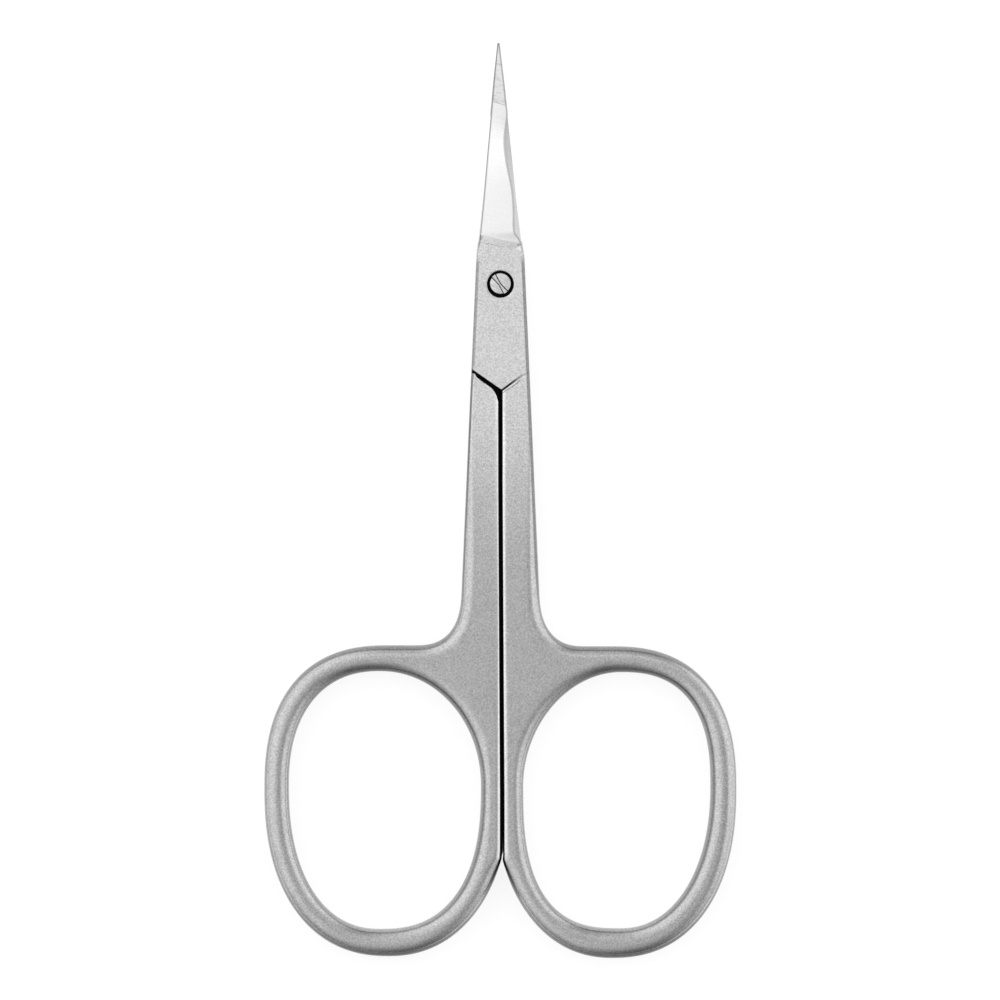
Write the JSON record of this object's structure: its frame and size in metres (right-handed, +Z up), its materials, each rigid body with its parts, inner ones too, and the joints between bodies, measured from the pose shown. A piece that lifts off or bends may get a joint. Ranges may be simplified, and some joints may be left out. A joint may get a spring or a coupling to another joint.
{
  "type": "beauty scissors",
  "caption": "Small curved-tip beauty scissors: satin steel halves with large oval finger rings and slim pointed blades, crossing at a slotted pivot screw.",
  "frame": {"origin": "middle of the closed scissors' plan, on the plane that the handle lies on", "axes": "+X to the right seen from the screw-head side, +Y towards the blade tips, +Z up, out of the face with the screw head"},
  "size_m": [0.0472, 0.0914, 0.0044],
  "materials": {
    "satin_steel_front": "fine satin handle, ground and polished blade",
    "satin_steel_back": "fine satin handle, ground blade",
    "screw_steel": "turned satin"
  },
  "bodies": {
    "back": {"back_half": "satin_steel_back", "pivot_screw": "screw_steel"},
    "front": {"front_half": "satin_steel_front"}
  },
  "joints": [
    {"name": "pivot", "type": "hinge", "parent": "back", "child": "front", "pos_m": [0, 0.02166, 0.0016], "axis": [0, 0, 1], "range_deg": [0, 140]}
  ]
}
